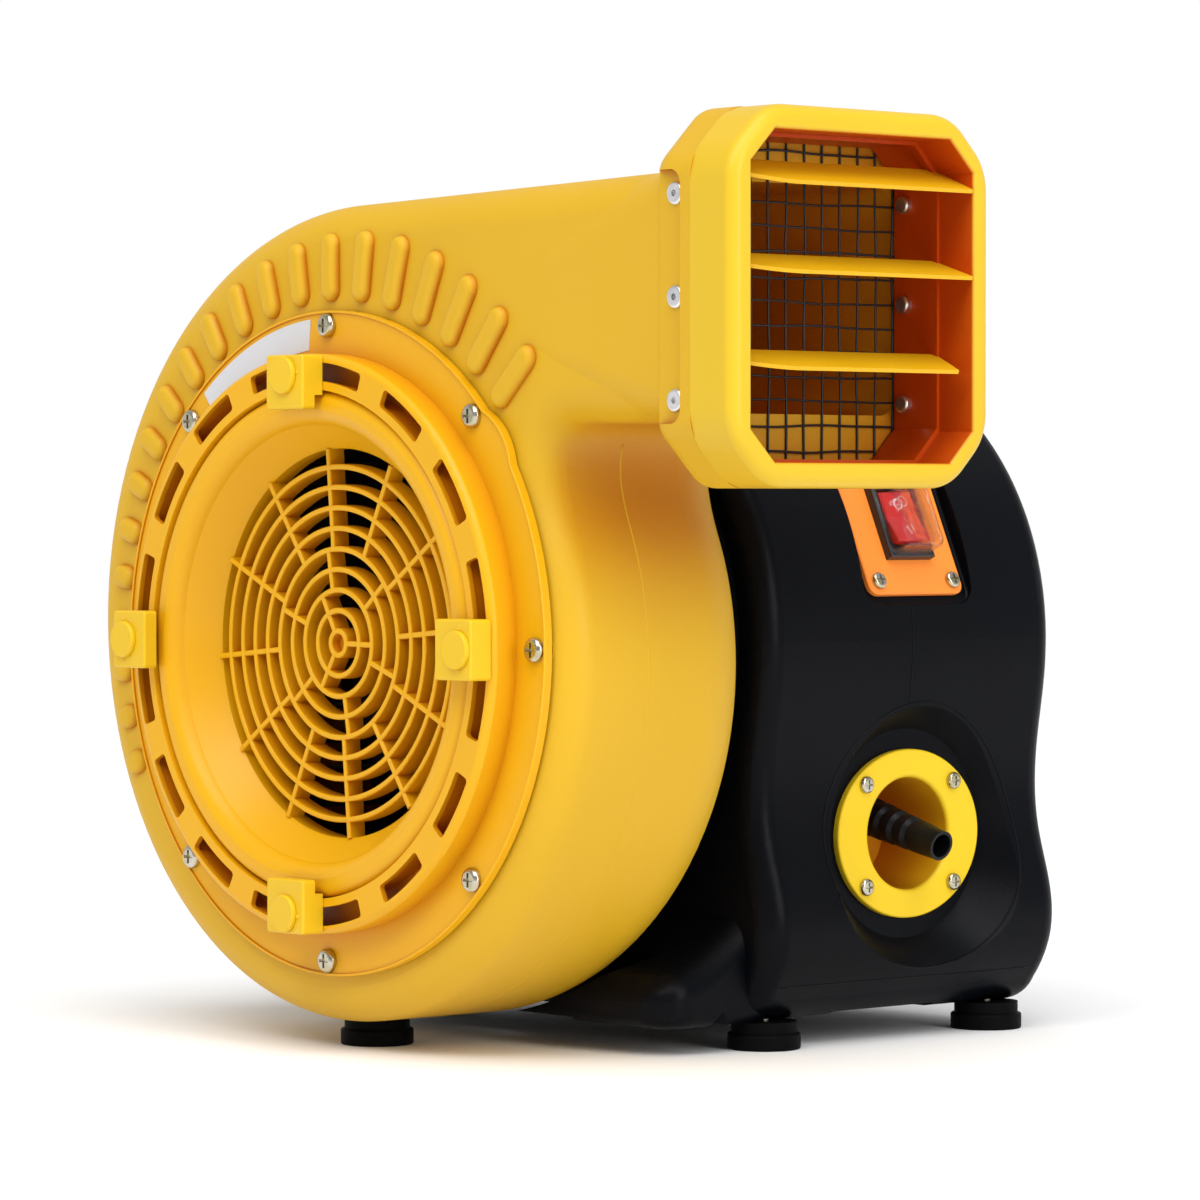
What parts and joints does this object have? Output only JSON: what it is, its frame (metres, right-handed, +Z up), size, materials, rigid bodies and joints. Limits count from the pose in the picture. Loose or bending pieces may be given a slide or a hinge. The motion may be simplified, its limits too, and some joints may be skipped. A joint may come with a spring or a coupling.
{
  "type": "centrifugal blower",
  "caption": "Scroll blower with a screened square outlet nozzle, a clipped bell inlet behind a finger grille, and a motor pod with switch and cable entry.",
  "frame": {"origin": "on the floor, under the middle of the blower's bounding box", "axes": "+Z up, +X the way the air leaves the nozzle, -Y towards the inlet grille"},
  "size_m": [0.4312, 0.345, 0.3905],
  "materials": {
    "casing_yellow": "satin moulded polyethylene",
    "guard_yellow": "moulded, soft gloss",
    "clip_yellow": "moulded, soft gloss",
    "nozzle_yellow": "moulded, soft gloss",
    "vane_yellow": "moulded, soft gloss",
    "cup_yellow": "moulded, soft gloss",
    "gasket_foam": "closed-cell foam",
    "label_foil": "blank printed film",
    "screw_zinc": "zinc plated",
    "rivet_aluminium": "plain",
    "mesh_black": "black coated wire",
    "wheel_black": "glass-filled nylon",
    "hub_aluminium": "machined",
    "steel_dark": "black oxide",
    "plate_zinc": "zinc plated",
    "shaft_steel": "ground",
    "core_steel": "stacked laminations",
    "fan_grey": "moulded",
    "bell_aluminium": "die cast",
    "bearing_steel": "polished",
    "winding_copper": "enamelled copper wire",
    "capacitor_white": "moulded can",
    "terminal_ivory": "moulded",
    "pod_black": "fine grained, satin",
    "switch_orange": "satin",
    "bezel_black": "gloss",
    "rocker_red": "translucent gloss",
    "boot_clear": "clear soft vinyl",
    "relief_black": "satin moulded rubber",
    "foot_rubber": "matt rubber"
  },
  "bodies": {
    "casing": {"volute_casing": "casing_yellow", "inlet_flange": "guard_yellow", "flange_gasket": "gasket_foam", "inlet_bell": "guard_yellow", "finger_grille": "guard_yellow", "inlet_label": "label_foil", "flange_screws": "screw_zinc", "clip_pins": "clip_yellow", "outlet_nozzle": "nozzle_yellow", "vane_upper": "vane_yellow", "vane_middle": "vane_yellow", "vane_lower": "vane_yellow", "outlet_mesh": "mesh_black", "nozzle_rivets": "rivet_aluminium", "motor_plate": "plate_zinc", "plate_bolts": "plate_zinc", "plate_nuts": "plate_zinc", "front_end_bell": "bell_aluminium", "rear_end_bell": "bell_aluminium", "front_bearing": "bearing_steel", "rear_bearing": "bearing_steel", "stator_core": "core_steel", "stator_windings": "winding_copper", "motor_studs": "plate_zinc", "stud_nuts": "plate_zinc", "run_capacitor": "capacitor_white", "capacitor_strap": "plate_zinc", "terminal_block": "terminal_ivory", "motor_pod": "pod_black", "rear_cover": "pod_black", "pod_screws": "screw_zinc", "rear_cover_screws": "screw_zinc", "switch_plate": "switch_orange", "switch_body": "bezel_black", "switch_pin": "shaft_steel", "switch_boot": "boot_clear", "switch_plate_screws": "screw_zinc", "cable_cup": "cup_yellow", "strain_relief": "relief_black", "relief_nut": "relief_black", "cable_cup_screws": "screw_zinc", "rubber_feet": "foot_rubber", "foot_screws": "screw_zinc"},
    "rotor": {"fan_wheel": "wheel_black", "wheel_hub": "hub_aluminium", "hub_bolts": "screw_zinc", "hub_set_screw": "steel_dark", "shaft_washer": "plate_zinc", "shaft_nut": "plate_zinc", "motor_shaft": "shaft_steel", "rotor_core": "core_steel", "cooling_fan": "fan_grey", "fan_retaining_ring": "steel_dark"},
    "rocker": {"switch_rocker": "rocker_red"},
    "top_clip": {"clip_top": "clip_yellow"},
    "right_clip": {"clip_right": "clip_yellow"},
    "bottom_clip": {"clip_bottom": "clip_yellow"},
    "left_clip": {"clip_left": "clip_yellow"}
  },
  "joints": [
    {"name": "fan_spin", "type": "hinge", "parent": "casing", "child": "rotor", "pos_m": [-0.04106, -0.0863, 0.1745], "axis": [0, 1, 0], "continuous": true},
    {"name": "switch_rock", "type": "hinge", "parent": "casing", "child": "rocker", "pos_m": [0.07332, 0.0807, 0.22639], "axis": [0, 1, 0], "range_deg": [0, 16]},
    {"name": "top_clip_turn", "type": "hinge", "parent": "casing", "child": "top_clip", "pos_m": [-0.04106, -0.1643, 0.2882], "axis": [0, 1, 0], "range_deg": [0, 180]},
    {"name": "right_clip_turn", "type": "hinge", "parent": "casing", "child": "right_clip", "pos_m": [0.07264, -0.1643, 0.1745], "axis": [0, 1, 0], "range_deg": [0, 180]},
    {"name": "bottom_clip_turn", "type": "hinge", "parent": "casing", "child": "bottom_clip", "pos_m": [-0.04106, -0.1643, 0.0608], "axis": [0, 1, 0], "range_deg": [0, 180]},
    {"name": "left_clip_turn", "type": "hinge", "parent": "casing", "child": "left_clip", "pos_m": [-0.15476, -0.1643, 0.1745], "axis": [0, 1, 0], "range_deg": [0, 180]}
  ]
}
